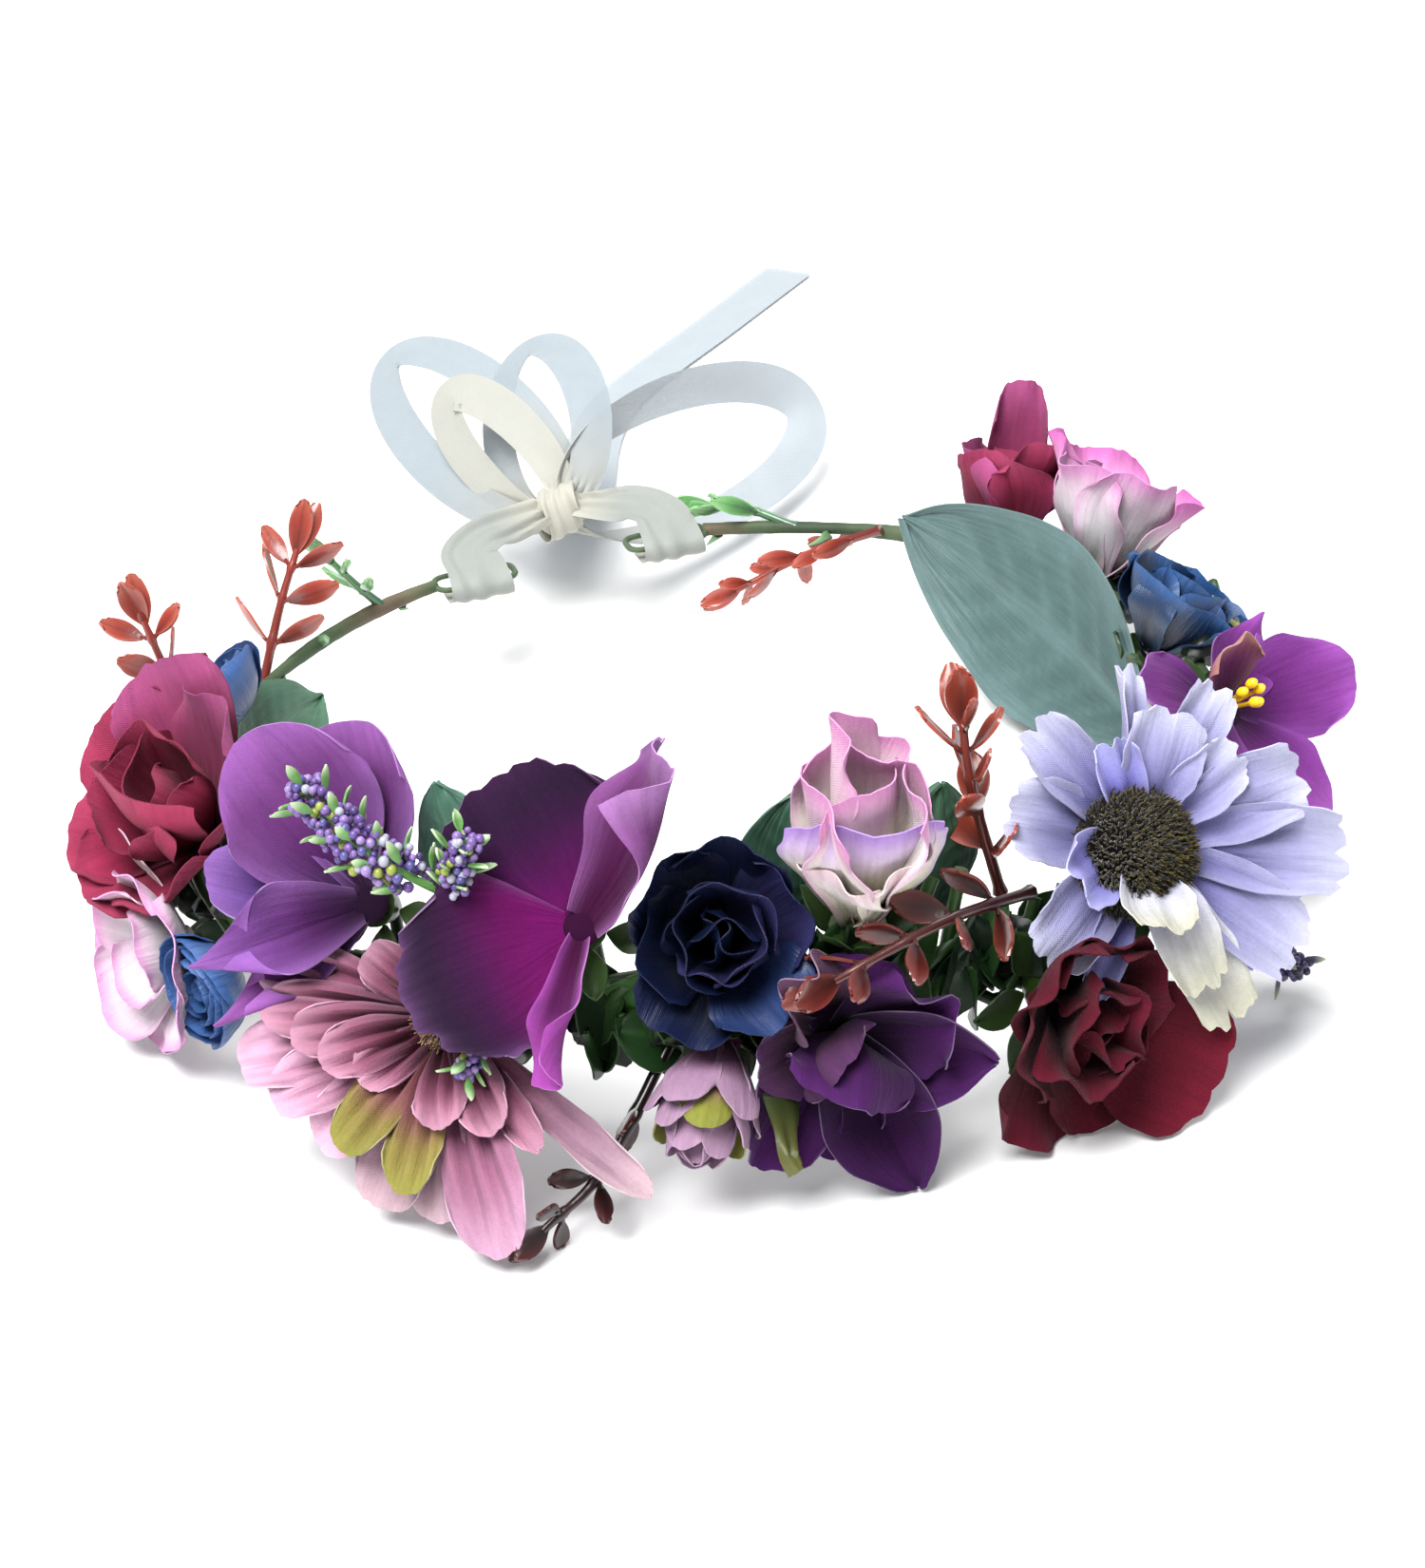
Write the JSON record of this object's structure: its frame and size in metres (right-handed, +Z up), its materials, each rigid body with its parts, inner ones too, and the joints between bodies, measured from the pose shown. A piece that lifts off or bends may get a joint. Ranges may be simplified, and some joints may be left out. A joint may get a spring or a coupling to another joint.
{
  "type": "flower crown",
  "caption": "Open wired vine ring with fabric flowers, leaves and sprigs round its front and sides, tied at the back with a ribbon bow.",
  "frame": {"origin": "on the surface the crown rests on, under the centre of its head opening", "axes": "+Z up through the head opening, +Y towards the ribbon tie at the back, -Y the front of the crown, +X the wearer's left"},
  "size_m": [0.2324, 0.4001, 0.0804],
  "materials": {
    "wire": "matte",
    "vine_tape": "matte",
    "ribbon": "satin",
    "calyx": "matte",
    "magenta_fabric": "matte",
    "lavender_fabric": "matte",
    "navy_satin": "satin",
    "cream_pink_fabric": "matte",
    "dusty_pink_fabric": "matte",
    "violet_fabric": "matte",
    "deep_violet_fabric": "matte",
    "burgundy_fabric": "matte",
    "purple_fabric": "matte",
    "crimson_fabric": "matte",
    "blue_satin": "satin",
    "pink_fabric": "matte",
    "lilac_fabric": "matte",
    "brown_plush": "matte",
    "yellow_stamen": "matte",
    "grey_green_leaf": "satin",
    "dark_leaf": "satin",
    "red_plastic": "gloss",
    "dark_red_plastic": "gloss",
    "green_plastic": "satin",
    "berries": "satin",
    "dark_berries": "satin"
  },
  "bodies": {
    "crown": {"berry_spray": "berries", "berry_tip_right": "dark_berries", "blue_rose_back_petals": "blue_satin", "blue_rose_calyx": "calyx", "blue_rose_low_petals": "blue_satin", "blue_rose_petals": "blue_satin", "burgundy_peony_calyx": "calyx", "burgundy_peony_petals": "burgundy_fabric", "cream_rose_petals": "cream_pink_fabric", "cream_rosebud_calyx": "calyx", "cream_rosebud_petals": "cream_pink_fabric", "crimson_peony_calyx": "calyx", "crimson_peony_petals": "crimson_fabric", "crimson_rose_calyx": "calyx", "crimson_rose_petals": "crimson_fabric", "lavender_daisy_calyx": "calyx", "lavender_daisy_centre": "brown_plush", "lavender_daisy_petals": "lavender_fabric", "leaf_front_left": "dark_leaf", "leaf_front_middle": "dark_leaf", "leaf_front_right": "dark_leaf", "leaf_inner_right": "grey_green_leaf", "leaf_left_back": "dark_leaf", "lilac_rose_petals": "lilac_fabric", "magenta_orchid_calyx": "calyx", "magenta_orchid_petals": "magenta_fabric", "navy_rose_calyx": "calyx", "navy_rose_petals": "navy_satin", "pink_bud_calyx": "calyx", "pink_bud_petals": "dusty_pink_fabric", "pink_rose_calyx": "calyx", "pink_rose_petals": "pink_fabric", "pink_zinnia_calyx": "calyx", "pink_zinnia_centre": "brown_plush", "pink_zinnia_petals": "dusty_pink_fabric", "purple_orchid_calyx": "calyx", "purple_orchid_centre": "yellow_stamen", "purple_orchid_petals": "purple_fabric", "sprig_front": "dark_red_plastic", "sprig_left": "red_plastic", "sprig_left_back": "red_plastic", "sprig_low": "dark_red_plastic", "sprig_right_back": "red_plastic", "sprig_upright": "red_plastic", "twig_left": "green_plastic", "twig_right": "green_plastic", "vine_wrap": "vine_tape", "violet_lily_calyx": "calyx", "violet_lily_petals": "deep_violet_fabric", "violet_orchid_calyx": "calyx", "violet_orchid_petals": "violet_fabric", "wire_core": "wire"},
    "bow": {"bow_knot": "ribbon", "ribbon_strap_left": "ribbon", "ribbon_strap_right": "ribbon", "bow_loop_left": "ribbon", "bow_loop_middle": "ribbon", "bow_loop_small": "ribbon", "bow_loop_right": "ribbon", "ribbon_tail": "ribbon"}
  },
  "joints": [
    {"name": "bow_swing", "type": "hinge", "parent": "crown", "child": "bow", "pos_m": [0, 0.0891, 0.024], "axis": [1, 0, 0], "range_deg": [0, 100]}
  ]
}
